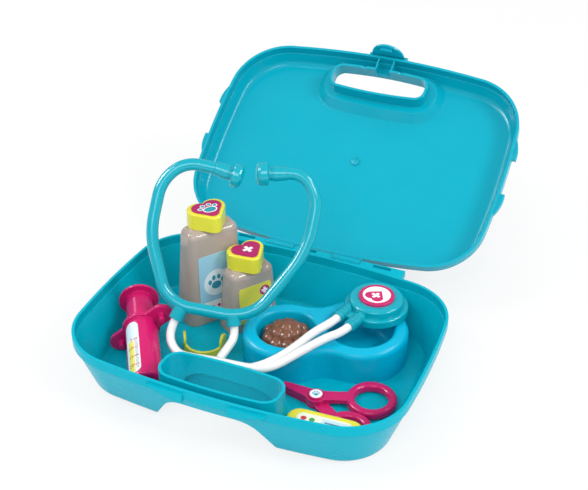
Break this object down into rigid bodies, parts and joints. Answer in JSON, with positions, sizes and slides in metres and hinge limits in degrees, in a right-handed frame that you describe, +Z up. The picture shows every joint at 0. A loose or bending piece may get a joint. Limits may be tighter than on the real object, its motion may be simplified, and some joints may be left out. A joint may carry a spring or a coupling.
{
  "type": "toy vet case",
  "caption": "Open teal toy vet case with a hinged lid, stethoscope, bottles, syringe, double bowl, scissors, thermometer and collar band.",
  "frame": {"origin": "middle of the flat underside of the case's base, on the floor", "axes": "+Z up, -Y towards the case's front, where the hand slot and the finger recess are"},
  "size_m": [0.3078, 0.4286, 0.1813],
  "materials": {
    "case_teal": "satin",
    "bowl_teal": "satin",
    "kibble_brown": "satin",
    "bottle_taupe": "satin",
    "magenta_print": "satin",
    "blue_label": "satin",
    "yellow_label": "satin",
    "magenta_plastic": "gloss",
    "yellow_plastic": "satin",
    "white_print": "satin",
    "white_tube": "satin"
  },
  "bodies": {
    "case": {"case_base": "case_teal", "pet_bowl": "bowl_teal", "kibble": "kibble_brown", "large_bottle": "bottle_taupe", "large_bottle_cap": "yellow_plastic", "large_bottle_cap_sticker": "magenta_print", "large_bottle_label": "blue_label", "small_bottle": "bottle_taupe", "small_bottle_cap": "yellow_plastic", "small_bottle_cap_sticker": "magenta_print", "small_bottle_label": "yellow_label", "syringe_barrel": "magenta_plastic", "syringe_label": "white_print", "scissors_pivot": "magenta_plastic", "pivot_sticker": "white_print", "thermometer": "yellow_plastic", "thermometer_label": "white_print", "collar_band": "yellow_plastic", "headset_yoke": "case_teal", "left_middle_arm": "case_teal", "right_middle_arm": "case_teal", "left_upper_arm": "case_teal", "right_upper_arm": "case_teal", "left_ear_collar": "case_teal", "right_ear_collar": "case_teal", "left_ear_tip": "case_teal", "right_ear_tip": "case_teal", "left_tube": "white_tube", "right_tube": "white_tube", "tube_connector": "case_teal", "chest_body": "case_teal", "chest_cap": "case_teal", "chest_label": "magenta_print"},
    "lid": {"case_lid": "case_teal"},
    "latch": {"latch": "case_teal"},
    "plunger": {"syringe_plunger": "magenta_plastic"},
    "upper_half": {"scissors_upper_half": "magenta_plastic"},
    "lower_half": {"scissors_lower_half": "magenta_plastic"}
  },
  "joints": [
    {"name": "lid_hinge", "type": "hinge", "parent": "case", "child": "lid", "pos_m": [0, 0.1153, 0.0481], "axis": [1, 0, 0], "range_deg": [0, 82]},
    {"name": "latch_pivot", "type": "hinge", "parent": "lid", "child": "latch", "pos_m": [0, 0.31349, 0.16333], "axis": [-1, 0, 0], "range_deg": [0, 95]},
    {"name": "plunger_slide", "type": "slide", "parent": "case", "child": "plunger", "axis": [0.526, -0.8417, -0.1219], "range_m": [0, 0.03]},
    {"name": "lower_half_pivot", "type": "hinge", "parent": "case", "child": "lower_half", "pos_m": [0.0624, -0.0309, 0.0068], "axis": [0, 0, -1], "range_deg": [0, 8]},
    {"name": "upper_half_pivot", "type": "hinge", "parent": "case", "child": "upper_half", "pos_m": [0.0624, -0.0309, 0.0068], "axis": [0, 0, 1], "range_deg": [0, 4]}
  ],
  "couplings": [
    {"joint": "upper_half_pivot", "follows": "lower_half_pivot", "ratio": 0.5}
  ]
}
